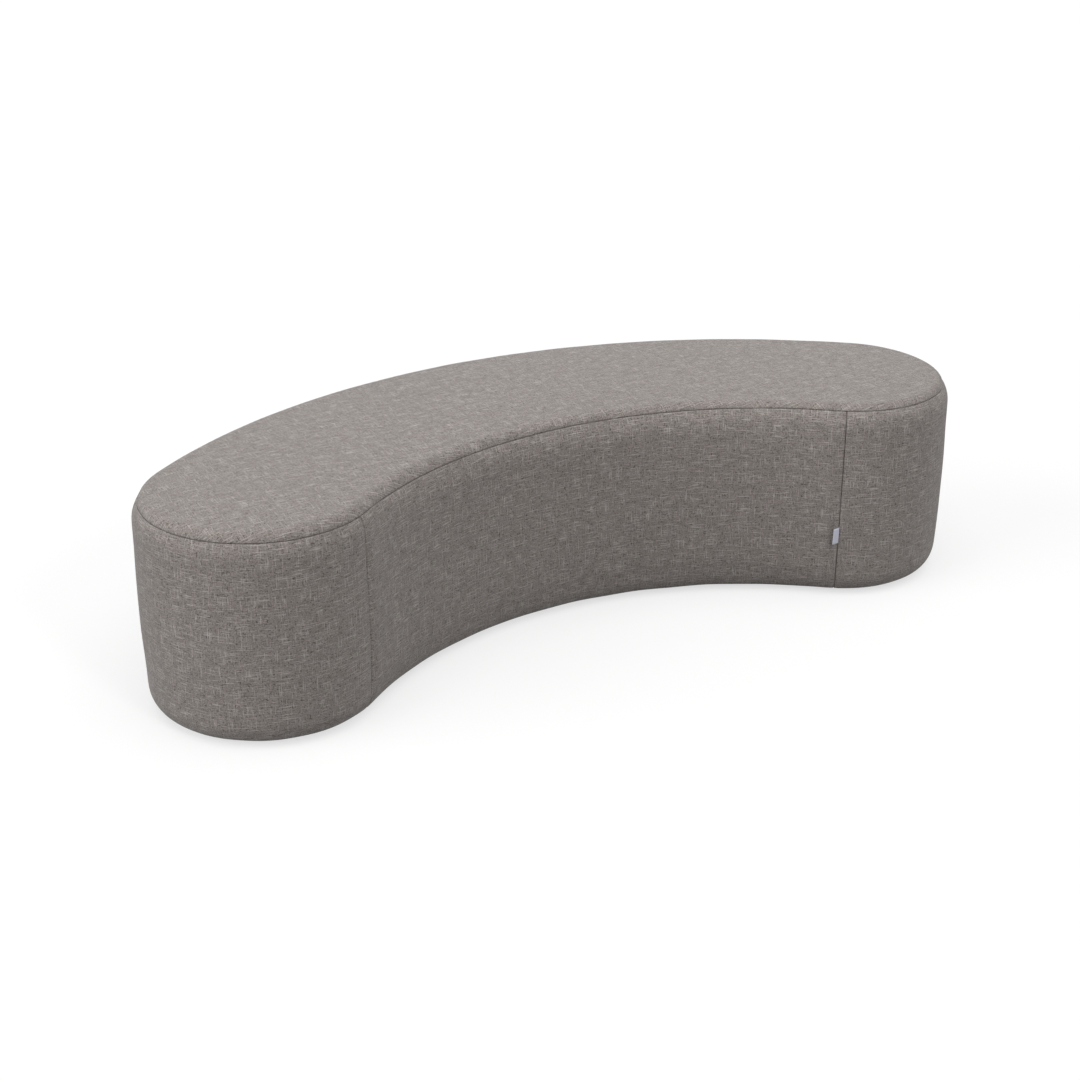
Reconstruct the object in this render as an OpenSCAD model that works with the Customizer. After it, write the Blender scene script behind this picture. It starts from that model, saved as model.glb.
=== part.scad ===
// Crescent bench ottoman: a plywood carcass, padded and covered in woven cloth.
// The origin is the centre of the footprint on the floor. +X runs along the bench
// and the hollow side of the crescent faces -Y.

/* [Overall form] */
// Radius of the curve that the middle of the seat follows
arc_r = 1025; // [940:5:1200]
// Angle from the middle of the bench to the centre of each round end
half_arc = 40.3; // [34:0.1:46]
// Width of the seat over its cover
seat_w = 456; // [440:2:500]
// Height of the upholstered body, from its underside to the edge of the seat
body_h = 418; // [360:2:470]
// Rise of the crowned seat above that edge
crown = 4; // [2:0.5:10]

/* [Edges and seams] */
// Width of the rounding along the top edge
top_round_w = 29.5; // [24:0.5:34]
// Height of the rounding along the top edge
top_round_h = 44.5; // [36:0.5:52]
// Width of the rounding along the bottom edge
foot_round_w = 27; // [25:0.5:32]
// Height of the rounding along the bottom edge
foot_round_h = 46.5; // [36:0.5:56]
// Swell of the walls at half their height
wall_swell = 3; // [1:0.5:6]
// Place of the top seam round the top edge, in degrees up from the wall
seam_turn = 47; // [40:1:55]
// Depth that the stitching draws the cover in
seam_draw = 3; // [1:0.5:4]
// Distance of each upright seam past the place where the hollow side turns into a round end
seam_past = 23; // [12:1:40]
// Width of the cloth turned in at every seam
seam_allowance = 9; // [6:1:12]

/* [Cover and padding] */
// Thickness of the woven cover
cover_t = 1.2; // [0.8:0.1:1.6]
// Width of the cover turned under the base
hem_w = 34; // [26:1:44]
// Thickness of the fibre wadding under the seat cover
wadding_t = 6; // [4:1:10]
// Thickness of the seat foam
seat_foam_t = 62; // [58:1:80]
// Thickness of the foam on the walls
side_foam_t = 25; // [20:0.5:25.5]
// Thickness of the cloth that closes the underside
dust_t = 0.8; // [0.5:0.1:1.2]
// Overlap of that cloth on the turned-under cover
dust_lap = 15; // [8:1:20]

/* [Carcass] */
// Thickness of the seat board and base board
board_t = 15; // [12:1:18]
// Thickness of the ribs and end fins
rib_t = 15; // [12:1:18]
// Thickness of the bending plywood round the carcass
skin_t = 5; // [3:0.5:6]
// Distance of the bending plywood above the bottom of the cover
skin_lift = 5.2; // [4:0.2:10]
// Width of the tabs that lock ribs into the boards
tab_w = 60; // [40:2:70]
// Place of each rib tab, as a share of the way from the rib's middle to its end
tab_share = 0.305; // [0.26:0.005:0.33]
// Diameter of the two lightening holes in each rib
rib_hole_d = 130; // [80:5:150]
// Place of the lightening holes, as a share of the same way
rib_hole_share = 0.46; // [0.43:0.005:0.5]
// Diameter of the hole in each bay of the base board
base_hole_d = 130; // [60:5:150]
// Diameter of the breather holes in the seat board
vent_d = 25; // [12:1:35]
// Place of the breather holes, as a share of the way from the seat's middle to the board's edge
vent_share = 0.56; // [0.3:0.01:0.7]
// Place of the outer fins of a round end, as a share of the boards' reach
fin_share = 0.51; // [0.46:0.01:0.56]
// Diameter of the lightening hole in each fin
fin_hole_d = 70; // [40:5:90]

/* [Screws and glides] */
// Diameter of the screw shanks
screw_d = 4; // [3:0.5:5]
// Diameter of the countersunk screw heads
screw_head_d = 8; // [7:0.5:10]
// Length of the carcass screws
screw_l = 45; // [35:1:60]
// Place of each rib screw, as a share of the way from the rib's middle to its end
screw_share = 0.855; // [0.8:0.005:0.9]
// Height of the bench's underside above the floor
glide_h = 8; // [6:0.5:14]
// Diameter of the glides where they meet the base
glide_d = 38; // [30:1:44]
// Diameter of the glides where they meet the floor
glide_foot_d = 32; // [24:1:36]
// Length of the screw that holds each glide
glide_screw_l = 17; // [14:0.5:18]
// Place of the middle glides, as a share of the way from the middle of the base to the board's edge
glide_share = 0.65; // [0.6:0.01:0.7]
// Place of the end glides along the bench, as a share of the boards' reach
end_glide_share = 0.44; // [0.4:0.01:0.48]
// Distance of each end glide from the fin beside it
end_glide_gap = 23; // [18:0.5:26]

/* [Label] */
// Width of the ribbon of the blank side label
label_w = 34; // [20:1:45]
// Length of the label outside the seam
label_out = 17; // [10:1:24]
// Thickness of the ribbon
ribbon_t = 0.5; // [0.3:0.1:0.7]
// Height of the label's middle above the bottom of the cover
label_z = 136; // [80:1:280]
// Angle by which the label leans over the front panel
label_lean = 48; // [20:1:60]

/* [Hidden] */
// clearance round tabs, skins, boards and turned-in edges
joint_fit = 0.3;
// clearance round screws and the ribbon
thin_fit = 0.1;
// overrun of every cut
cut = 1;
arc_steps = 360;
end_steps = 120;
round_steps = 5;
wall_steps = 6;
crown_steps = 5;
// spread of the pinch that the top seam makes, in degrees
draw_spread = 14;
half_w = seat_w / 2;
// middle of the footprint, measured from the centre of the curve
plan_mid = arc_r * (1 + cos(half_arc)) / 2;
// reach of the bending plywood and of the boards inside it, from the middle line
skin_out = half_w - cover_t - side_foam_t;
skin_in = skin_out - skin_t;
core_w = skin_in - joint_fit;
tab_out = core_w * tab_share;
rib_hole_out = core_w * rib_hole_share;
vent_out = core_w * vent_share;
fin_pitch = core_w * fin_share;
screw_out = core_w * screw_share;
glide_out = core_w * glide_share;
// levels of the boards and ribs
seat_z = body_h - seat_foam_t;
base_z = cover_t;
rib_z = base_z + board_t;
rib_h = seat_z - board_t - rib_z;
// angles on a round end are held to hundredths, so that neighbours share one plane
function hundredths(a) = round(a * 100) / 100;
function end_angle(l, r) = hundredths(l / r * 180 / PI);
seam_angle = end_angle(seam_past, half_w);
turn_angle = end_angle(cover_t, half_w - seam_allowance);
slit_angle = turn_angle + end_angle(joint_fit, half_w - seam_allowance);
// the carcass has three bays on each side of the middle rib
bays = 3;
bay_angle = half_arc / bays;
fin_tab_share = 0.36;
fin_hole_share = 0.45;
fin_screw_share = 0.84;
// countersink and point of a screw, and the recess of a glide's screw
screw_head_h = (screw_head_d - screw_d) / 2;
screw_tip_l = screw_d * 1.5;
glide_sink_share = 0.5;
glide_rim_share = 0.2;

// Cross-section of the bench, from its middle line outwards, at a depth below the cover's face
function pinch(t) = seam_draw * exp(-pow((t - seam_turn) / draw_spread, 2));
function top_edge(t, depth) = [
    half_w - top_round_w + (top_round_w - depth - pinch(t)) * cos(t),
    body_h - top_round_h + (top_round_h - depth - pinch(t)) * sin(t)
];
function foot_edge(t, depth) = [
    half_w - foot_round_w + (foot_round_w - depth) * cos(t),
    foot_round_h - (foot_round_h - depth) * sin(t)
];
function wall(s, depth) = [
    half_w - depth + wall_swell * 4 * s * (1 - s),
    foot_round_h + s * (body_h - top_round_h - foot_round_h)
];
function seat(s, depth) = [
    s * (half_w - top_round_w),
    body_h - depth + crown * (1 - s * s)
];
function rounding_line(depth) = [
    for (i = [0:round_steps]) top_edge(seam_turn + (90 - seam_turn) * i / round_steps, depth)
];
function seat_line(depth) = concat(
    rounding_line(depth),
    [for (i = [crown_steps - 1:-1:0]) seat(i / crown_steps, depth)]
);
function wall_line(depth) = concat(
    [for (i = [round_steps:-1:1]) top_edge(seam_turn * i / round_steps, depth)],
    [for (i = [wall_steps:-1:1]) wall(i / wall_steps, depth)],
    [for (i = [0:2 * round_steps]) foot_edge(90 * i / (2 * round_steps), depth)]
);
function reversed(list) = [for (i = [len(list) - 1:-1:0]) list[i]];
function without_first(list) = [for (i = [1:len(list) - 1]) list[i]];
function both_sides(list) = concat(list, [for (p = reversed(list)) if (p[0] > 0) [-p[0], p[1]]]);

// Cloth turned in at the top seam: side is 1 above the stitching and -1 below it
function from_seam(inwards, across) = top_edge(seam_turn, 0)
    - inwards * [cos(seam_turn), sin(seam_turn)]
    + across * [-sin(seam_turn), cos(seam_turn)];
function turned_in(side) = [
    from_seam(cover_t + seam_allowance, 0),
    from_seam(cover_t + seam_allowance, side * cover_t),
    from_seam(cover_t, side * cover_t)
];
function seat_cloth_back() = concat(turned_in(1), without_first(seat_line(cover_t)));
function wall_cloth_back() = concat(turned_in(-1), without_first(wall_line(cover_t)));

// Places and runs. The right half is made and mirrored, and the halves meet on the plane x = 0.
module in_place() {
    translate([0, -plan_mid, glide_h])
        children();
}
module at_end(side) {
    rotate([0, 0, -side * half_arc])
        translate([0, arc_r, 0])
            mirror([side < 0 ? 1 : 0, 0, 0])
                children();
}
module both_halves() {
    for (side = [0, 1])
        mirror([side, 0, 0])
            intersection() {
                rotate([0, 0, -half_arc])
                    children();
                translate([0, 0, -body_h])
                    cube([2 * arc_r, 2 * arc_r, 3 * body_h]);
            }
}
module along_arc() {
    rotate_extrude(start = 90, angle = half_arc + bay_angle, $fn = arc_steps)
        translate([arc_r, 0])
            children();
}
module whole_arc() {
    rotate_extrude(start = 90 - half_arc, angle = 2 * half_arc, $fn = arc_steps)
        translate([arc_r, 0])
            children();
}
module round_end(start, turn) {
    rotate_extrude(start = start, angle = turn, $fn = end_steps)
        children();
}

// A flat crescent, out to a distance from its middle line
module slab(z, t, reach) {
    both_halves() {
        along_arc()
            translate([-reach, z])
                square([2 * reach, t]);
        translate([0, arc_r, 0])
            round_end(90, -180)
                translate([0, z])
                    square([reach, t]);
    }
}

// Cover
module top_panel() {
    color([0.49, 0.47, 0.45])
        in_place()
            both_halves() {
                along_arc()
                    polygon(concat(both_sides(seat_line(0)), reversed(both_sides(seat_cloth_back()))));
                translate([0, arc_r, 0])
                    round_end(90, -180)
                        polygon(concat(seat_line(0), reversed(seat_cloth_back())));
            }
}
module wall_section() {
    hem = [half_w - foot_round_w - hem_w, 0];
    polygon(concat(wall_line(0), [hem, hem + [0, cover_t]], reversed(wall_cloth_back())));
}
// Cloth turned in along an upright seam
module upright_turn_in(side) {
    translate([0, arc_r, 0])
        round_end(seam_angle - 90, side * turn_angle)
            polygon(concat(wall_line(0), reversed(wall_line(cover_t + seam_allowance))));
}
// Both layers of ribbon and the clearance round them, where they pass through the seam
module label_slot() {
    reach = seam_allowance + 3 * cover_t + wall_swell;
    gap = ribbon_t + thin_fit;
    at_end(1)
        rotate([0, 0, seam_angle - 90])
            translate([half_w - seam_allowance - 2 * cover_t, -gap, label_z - label_w / 2 - joint_fit])
                cube([reach, 2 * gap, label_w + 2 * joint_fit]);
}
module front_panel() {
    color([0.45, 0.43, 0.41])
        in_place()
            difference() {
                both_halves() {
                    along_arc()
                        mirror([1, 0]) wall_section();
                    translate([0, arc_r, 0])
                        round_end(-90, seam_angle) wall_section();
                    upright_turn_in(-1);
                }
                label_slot();
            }
}
module outer_panel() {
    color([0.45, 0.43, 0.41])
        in_place()
            difference() {
                both_halves() {
                    along_arc() wall_section();
                    translate([0, arc_r, 0])
                        round_end(90, seam_angle - 180) wall_section();
                    upright_turn_in(1);
                }
                label_slot();
            }
}
module side_label() {
    seam_r = wall((label_z - foot_round_h) / (body_h - top_round_h - foot_round_h), 0)[0];
    fold_r = 1.5 * ribbon_t;
    straight = label_out - fold_r;
    color([0.75, 0.75, 0.8])
        in_place()
            at_end(1)
                rotate([0, 0, seam_angle - 90])
                    translate([0, 0, label_z - label_w / 2])
                        linear_extrude(label_w) {
                            translate([seam_r - cover_t - seam_allowance, -ribbon_t])
                                square([seam_allowance + cover_t + fold_r, 2 * ribbon_t]);
                            translate([seam_r + fold_r, 0])
                                rotate([0, 0, -label_lean])
                                    difference() {
                                        union() {
                                            circle(fold_r, $fn = 24);
                                            translate([0, -fold_r]) square([straight, 2 * fold_r]);
                                            translate([straight, 0]) circle(fold_r, $fn = 24);
                                        }
                                        translate([fold_r, -ribbon_t / 2])
                                            square([straight - fold_r, ribbon_t]);
                                        translate([straight, 0]) circle(ribbon_t / 2, $fn = 24);
                                    }
                        }
}

// Padding
function wadding_under() = [
    for (i = [crown_steps - 1:-1:0]) seat(i / crown_steps, cover_t + wadding_t)
];
module seat_wadding() {
    top = [for (i = [crown_steps:-1:0]) seat(i / crown_steps, cover_t)];
    color([0.95, 0.95, 0.93])
        in_place()
            both_halves() {
                along_arc()
                    polygon(concat(both_sides(top), reversed(both_sides(wadding_under()))));
                translate([0, arc_r, 0])
                    round_end(90, -180)
                        polygon(concat(top, reversed(wadding_under())));
            }
}
function foam_top() = concat(
    [wall(seat_level_share, cover_t)],
    [for (i = [0:round_steps - 1]) top_edge(seam_turn * i / round_steps, cover_t)],
    rounding_line(cover_t),
    wadding_under()
);
// place up the wall where the seat foam rests on the seat board
seat_level_share = (seat_z - foot_round_h) / (body_h - top_round_h - foot_round_h);
module seam_groove() {
    deep = cover_t + seam_allowance + joint_fit;
    wide = cover_t + joint_fit;
    polygon([
        from_seam(-cut, -wide),
        from_seam(-cut, wide),
        from_seam(deep, wide),
        from_seam(deep, -wide)
    ]);
}
module seat_foam() {
    color([0.93, 0.88, 0.68])
        in_place()
            both_halves() {
                along_arc()
                    difference() {
                        polygon(both_sides(concat([[0, seat_z]], foam_top())));
                        seam_groove();
                        mirror([1, 0]) seam_groove();
                    }
                translate([0, arc_r, 0])
                    round_end(90, -180)
                        difference() {
                            polygon(concat([[0, seat_z]], foam_top()));
                            seam_groove();
                        }
            }
}
module side_foam_section() {
    intersection() {
        polygon(concat([[0, seat_z], [0, cover_t]], reversed(wall_line(cover_t))));
        translate([skin_out, 0])
            square([side_foam_t + wall_swell, seat_z]);
    }
}
module front_foam() {
    color([0.9, 0.86, 0.72])
        in_place()
            both_halves() {
                along_arc()
                    mirror([1, 0]) side_foam_section();
                translate([0, arc_r, 0])
                    round_end(-90, seam_angle - slit_angle) side_foam_section();
            }
}
module back_foam() {
    color([0.9, 0.86, 0.72])
        in_place()
            whole_arc() side_foam_section();
}
module end_foam(side) {
    color([0.9, 0.86, 0.72])
        in_place()
            at_end(side)
                round_end(90, seam_angle + slit_angle - 180) side_foam_section();
}

// Bending plywood round the carcass
module skin_section() {
    translate([skin_in, skin_lift])
        square([skin_t, seat_z - skin_lift]);
}
module front_skin() {
    color([0.78, 0.62, 0.42])
        in_place()
            whole_arc()
                mirror([1, 0]) skin_section();
}
module back_skin() {
    color([0.78, 0.62, 0.42])
        in_place()
            whole_arc() skin_section();
}
module end_skin(side) {
    color([0.78, 0.62, 0.42])
        in_place()
            at_end(side)
                round_end(90, -180) skin_section();
}

// Places on the carcass
function fin_l(y) = sqrt(core_w * core_w - y * y) - rib_t / 2;
module at_rib(i) {
    rotate([0, 0, -i * bay_angle])
        translate([0, arc_r, 0])
            children();
}
module at_every_rib() {
    for (i = [-bays:bays])
        at_rib(i) children();
}
module at_every_bay(out) {
    for (i = [-bays:bays - 1])
        rotate([0, 0, -(i + 0.5) * bay_angle])
            for (y = out)
                translate([0, arc_r + y, 0])
                    children();
}
module at_fin_places(share) {
    for (side = [-1, 1], y = [-fin_pitch, 0, fin_pitch])
        at_end(side)
            translate([rib_t / 2 + share * fin_l(y), y, 0])
                children();
}
module at_carcass_screws() {
    at_every_rib()
        for (y = [-screw_out, screw_out])
            translate([0, y, 0])
                children();
    at_fin_places(fin_screw_share)
        children();
}
// A countersunk wood screw, its head at the origin and its point below
module wood_screw(l, fit) {
    rotate_extrude($fn = 32)
        polygon([
            [0, 0],
            [screw_head_d / 2 + fit, 0],
            [screw_d / 2 + fit, -screw_head_h],
            [screw_d / 2 + fit, screw_tip_l - l - fit],
            [0, -l - fit]
        ]);
}
module seat_screw_set(fit) {
    at_carcass_screws()
        translate([0, 0, seat_z])
            wood_screw(screw_l, fit);
}
module base_screw_set(fit) {
    at_carcass_screws()
        translate([0, 0, base_z])
            mirror([0, 0, 1])
                wood_screw(screw_l, fit);
}
module tab_slots(z) {
    at_every_rib()
        for (y = [-tab_out, tab_out])
            translate([-rib_t / 2 - joint_fit, y - tab_w / 2 - joint_fit, z - cut])
                cube([rib_t + 2 * joint_fit, tab_w + 2 * joint_fit, board_t + 2 * cut]);
    at_fin_places(fin_tab_share)
        translate([-tab_w / 2 - joint_fit, -rib_t / 2 - joint_fit, z - cut])
            cube([tab_w + 2 * joint_fit, rib_t + 2 * joint_fit, board_t + 2 * cut]);
}

// Carcass
module seat_board() {
    color([0.83, 0.68, 0.48])
        in_place()
            difference() {
                slab(seat_z - board_t, board_t, core_w);
                tab_slots(seat_z - board_t);
                seat_screw_set(thin_fit);
                at_every_bay([-vent_out, vent_out])
                    translate([0, 0, seat_z - board_t - cut])
                        cylinder(d = vent_d, h = board_t + 2 * cut, $fn = 48);
            }
}
module base_board() {
    color([0.83, 0.68, 0.48])
        in_place()
            difference() {
                slab(base_z, board_t, core_w);
                tab_slots(base_z);
                base_screw_set(thin_fit);
                glide_screw_set(thin_fit);
                at_every_bay([0])
                    translate([0, 0, base_z - cut])
                        cylinder(d = base_hole_d, h = board_t + 2 * cut, $fn = 72);
            }
}
module rib(i) {
    color([0.8, 0.65, 0.45])
        in_place()
            difference() {
                at_rib(i)
                    translate([-rib_t / 2, 0, 0])
                        rotate([90, 0, 90])
                            linear_extrude(rib_t)
                                difference() {
                                    union() {
                                        translate([-core_w, rib_z])
                                            square([2 * core_w, rib_h]);
                                        for (y = [-tab_out, tab_out])
                                            translate([y - tab_w / 2, base_z])
                                                square([tab_w, seat_z - base_z]);
                                    }
                                    for (y = [-rib_hole_out, rib_hole_out])
                                        translate([y, rib_z + rib_h / 2])
                                            circle(d = rib_hole_d, $fn = 72);
                                }
                seat_screw_set(thin_fit);
                base_screw_set(thin_fit);
            }
}
module fin(side, y) {
    l = fin_l(y);
    color([0.8, 0.65, 0.45])
        in_place()
            difference() {
                at_end(side)
                    intersection() {
                        translate([rib_t / 2, y + rib_t / 2, 0])
                            rotate([90, 0, 0])
                                linear_extrude(rib_t)
                                    difference() {
                                        union() {
                                            translate([0, rib_z])
                                                square([core_w, rib_h]);
                                            translate([l * fin_tab_share - tab_w / 2, base_z])
                                                square([tab_w, seat_z - base_z]);
                                        }
                                        translate([l * fin_hole_share, rib_z + rib_h / 2])
                                            circle(d = fin_hole_d, $fn = 72);
                                    }
                        cylinder(r = core_w, h = body_h, $fn = end_steps);
                    }
                seat_screw_set(thin_fit);
                base_screw_set(thin_fit);
            }
}
module seat_screws() {
    color([0.75, 0.7, 0.5])
        in_place() seat_screw_set(0);
}
module base_screws() {
    color([0.75, 0.7, 0.5])
        in_place() base_screw_set(0);
}

// Underside
module at_glide(i) {
    if (i < 2)
        translate([0, arc_r + (2 * i - 1) * glide_out, 0])
            children();
    else
        at_end(i < 4 ? -1 : 1)
            translate([core_w * end_glide_share, (2 * (i % 2) - 1) * (fin_pitch + end_glide_gap), 0])
                children();
}
module glide_screw_set(fit) {
    for (i = [0:5])
        at_glide(i)
            translate([0, 0, -glide_h * glide_sink_share])
                mirror([0, 0, 1])
                    wood_screw(glide_screw_l, fit);
}
module dust_cover() {
    color([0.13, 0.13, 0.14])
        in_place()
            difference() {
                slab(-dust_t, dust_t, half_w - foot_round_w - hem_w + dust_lap);
                glide_screw_set(thin_fit);
            }
}
module glide(i) {
    sink = glide_h * glide_sink_share;
    rim = glide_h * glide_rim_share;
    color([0.2, 0.2, 0.21])
        in_place()
            difference() {
                at_glide(i)
                    rotate_extrude($fn = 64)
                        polygon([
                            [0, -dust_t],
                            [glide_d / 2, -dust_t],
                            [glide_d / 2, -dust_t - rim],
                            [glide_foot_d / 2, rim / 2 - glide_h],
                            [glide_foot_d / 2 - rim / 2, -glide_h],
                            [screw_head_d / 2 + rim / 2, -glide_h],
                            [screw_head_d / 2 + rim / 2, -sink],
                            [0, -sink]
                        ]);
                glide_screw_set(thin_fit);
            }
}
module glide_screws() {
    color([0.6, 0.6, 0.62])
        in_place() glide_screw_set(0);
}

// Each line draws one piece
top_panel();
front_panel();
outer_panel();
side_label();
seat_wadding();
seat_foam();
front_foam();
back_foam();
end_foam(-1);  // left_end_foam
end_foam(1);  // right_end_foam
front_skin();
back_skin();
end_skin(-1);  // left_end_skin
end_skin(1);  // right_end_skin
seat_board();
base_board();
rib(0);  // rib_middle
rib(-1);  // rib_left_1
rib(-2);  // rib_left_2
rib(-3);  // rib_left_3
rib(1);  // rib_right_1
rib(2);  // rib_right_2
rib(3);  // rib_right_3
fin(-1, -fin_pitch);  // fin_left_front
fin(-1, 0);  // fin_left_nose
fin(-1, fin_pitch);  // fin_left_back
fin(1, -fin_pitch);  // fin_right_front
fin(1, 0);  // fin_right_nose
fin(1, fin_pitch);  // fin_right_back
seat_screws();
base_screws();
dust_cover();
glide(0);  // glide_middle_front
glide(1);  // glide_middle_back
glide(2);  // glide_left_front
glide(3);  // glide_left_back
glide(4);  // glide_right_front
glide(5);  // glide_right_back
glide_screws();
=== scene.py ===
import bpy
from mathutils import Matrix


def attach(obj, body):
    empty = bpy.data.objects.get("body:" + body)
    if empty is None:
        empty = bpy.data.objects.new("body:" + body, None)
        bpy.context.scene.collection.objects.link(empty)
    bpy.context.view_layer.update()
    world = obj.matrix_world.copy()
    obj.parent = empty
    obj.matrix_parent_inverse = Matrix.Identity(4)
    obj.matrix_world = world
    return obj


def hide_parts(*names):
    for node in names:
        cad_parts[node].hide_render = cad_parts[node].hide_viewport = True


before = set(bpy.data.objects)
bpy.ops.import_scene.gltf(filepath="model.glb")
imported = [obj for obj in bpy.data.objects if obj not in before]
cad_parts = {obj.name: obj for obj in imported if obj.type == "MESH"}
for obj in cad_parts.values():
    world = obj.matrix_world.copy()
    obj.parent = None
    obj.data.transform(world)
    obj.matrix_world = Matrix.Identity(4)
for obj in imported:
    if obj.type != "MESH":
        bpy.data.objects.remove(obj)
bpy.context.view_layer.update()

import math

import bmesh
import bpy
import numpy as np
from mathutils import Vector, kdtree


# The carcass: plywood boards, ribs and end fins, cut from birch sheet and screwed together,
# with thin bending plywood round them. They come from the CAD and get their wood here.
def shade(red, green, blue):
    """A colour as a screen shows it, 0 to 255, in the numbers that a shader takes."""
    light = [c / 255 for c in (red, green, blue)]
    return [c / 12.92 if c <= 0.04045 else ((c + 0.055) / 1.055) ** 2.4 for c in light] + [1]


def finish(name, roughness, **plain):
    """A new material, its node tree and its shader, with the plain values set on the shader."""
    material = bpy.data.materials.new(name)
    material.use_nodes = True
    shader = material.node_tree.nodes["Principled BSDF"]
    shader.inputs["Roughness"].default_value = roughness
    for socket, value in plain.items():
        shader.inputs[socket.replace("_", " ")].default_value = value
    return material, material.node_tree, shader


def put(tree, kind, into=(), **settings):
    """Adds a node. into gives its inputs, each a value or another node's output."""
    made = tree.nodes.new("ShaderNode" + kind)
    for name, value in settings.items():
        setattr(made, name, value)
    for key, value in dict(into).items():
        if isinstance(value, bpy.types.NodeSocket):
            tree.links.new(value, made.inputs[key])
        else:
            made.inputs[key].default_value = value
    return made


def sums(tree, operation, *values):
    return put(tree, "Math", enumerate(values), operation=operation).outputs[0]


def blotches(tree, place, scale, detail=2.0):
    """Soft noise about 0, from about -1 to 1, with scale as (along, across, up) per metre."""
    stretched = put(tree, "Mapping", {0: place, 3: scale}).outputs[0]
    cloud = put(tree, "TexNoise", {"Vector": stretched, "Scale": 1.0, "Detail": detail})
    return sums(tree, "MULTIPLY_ADD", cloud.outputs[0], 5.0, -2.5)


def tint(tree, shader, share, dark, light):
    """Colours the surface between two colours, by a share that is held from 0 to 1."""
    mix = put(tree, "Mix", {0: share, 6: dark, 7: light}, data_type="RGBA", clamp_factor=True)
    tree.links.new(mix.outputs[2], shader.inputs["Base Color"])


def raise_by(tree, shader, height, depth):
    """Gives the surface a relief that is depth metres high."""
    bump = put(tree, "Bump", {"Height": height, "Distance": depth, "Strength": 0.7})
    tree.links.new(bump.outputs[0], shader.inputs["Normal"])


def plywood(name, turn, ply, upright_grain=False, lying=False):
    """Birch plywood. turn is the sheet's turn about Z, and ply the thickness of one veneer."""
    material, tree, shader = finish(name, 0.55, Specular_IOR_Level=0.35)
    coords = put(tree, "TexCoord").outputs["Object"]
    turned = put(tree, "VectorRotate", {"Vector": coords, "Angle": turn}, rotation_type="Z_AXIS")
    place = put(tree, "SeparateXYZ", {0: turned.outputs[0]}).outputs
    normal = put(tree, "NewGeometry").outputs["Normal"]
    facing = put(tree, "VectorRotate", {"Vector": normal, "Angle": turn}, rotation_type="Z_AXIS")
    facing = put(tree, "SeparateXYZ", {0: facing.outputs[0]}).outputs
    thickness = 2 if lying else 0
    on_face = sums(tree, "GREATER_THAN", sums(tree, "ABSOLUTE", facing[thickness]), 0.7)
    scale = (90, 90, 4) if upright_grain else ((4, 90, 90) if lying else (90, 4, 90))
    grain = blotches(tree, turned.outputs[0], scale, 4)
    pores = blotches(tree, turned.outputs[0], [9 * s for s in scale])
    veneers = sums(tree, "SINE", sums(tree, "MULTIPLY", place[thickness], math.pi / ply))
    edge = sums(tree, "MULTIPLY_ADD", veneers, 0.9, sums(tree, "MULTIPLY", pores, 0.2))
    face = sums(tree, "ADD", sums(tree, "MULTIPLY", grain, 0.35), sums(tree, "MULTIPLY", pores, 0.12))
    tone = put(tree, "Mix", {0: on_face, 2: edge, 3: face}).outputs[0]
    share = sums(tree, "MULTIPLY_ADD", tone, 0.4, 0.55)
    tint(tree, shader, share, shade(164, 122, 78), shade(222, 190, 146))
    raise_by(tree, shader, tone, depth=0.0002)
    return material


def finished(nodes, material):
    """Gives CAD nodes their finish."""
    for name in nodes:
        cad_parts[name].material_slots[0].material = material


half_arc = math.radians(40.3)
board_veneer, bending_veneer = 0.00136, 0.0017
ribs_each_side = 3
finished(["seat_board", "base_board"], plywood("plywood_boards", 0, board_veneer, lying=True))
for bay in range(-ribs_each_side, ribs_each_side + 1):
    side = "middle" if bay == 0 else f"{'left' if bay < 0 else 'right'}_{abs(bay)}"
    turn = bay * half_arc / ribs_each_side
    finished([f"rib_{side}"], plywood(f"plywood_rib_{side}", turn, board_veneer))
for side, turn in (("left", -half_arc), ("right", half_arc)):
    fins = [f"fin_{side}_{place}" for place in ("front", "nose", "back")]
    finished(fins, plywood(f"plywood_fins_{side}", turn + math.pi / 2, board_veneer))
skins = ["front_skin", "back_skin", "left_end_skin", "right_end_skin"]
finished(skins, plywood("bending_plywood", 0, bending_veneer, upright_grain=True, lying=True))


# The carcass screws: countersunk wood screws of zinc-plated steel, driven through both boards
# into every rib and fin. Dull grey with a faint cloudy plating.
def metal(name, dark, light, roughness):
    material, tree, shader = finish(name, roughness, Metallic=1.0)
    coords = put(tree, "TexCoord").outputs["Object"]
    cloud = blotches(tree, coords, (900, 900, 900), 3)
    tint(tree, shader, sums(tree, "MULTIPLY_ADD", cloud, 0.4, 0.5), dark, light)
    raise_by(tree, shader, cloud, depth=0.00003)
    return material


zinc = metal("zinc_plate", shade(150, 150, 146), shade(196, 195, 190), 0.38)
finished(["seat_screws", "base_screws"], zinc)


# The foam: a seat slab and four pieces round the walls, cut from sheet and glued on, slit where
# the cover's turned-in edges lie. It is open-celled, cream to yellow, and the cloth hides it.
arc_r, half_w, body_h, lift = 1.025, 0.228, 0.418, 0.008
plan_mid = arc_r * (1 + math.cos(half_arc)) / 2
front_l = (arc_r - half_w) * half_arc
end_l = math.pi * half_w
back_l = (arc_r + half_w) * half_arc * 2
round_l = 2 * front_l + 2 * end_l + back_l


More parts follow.
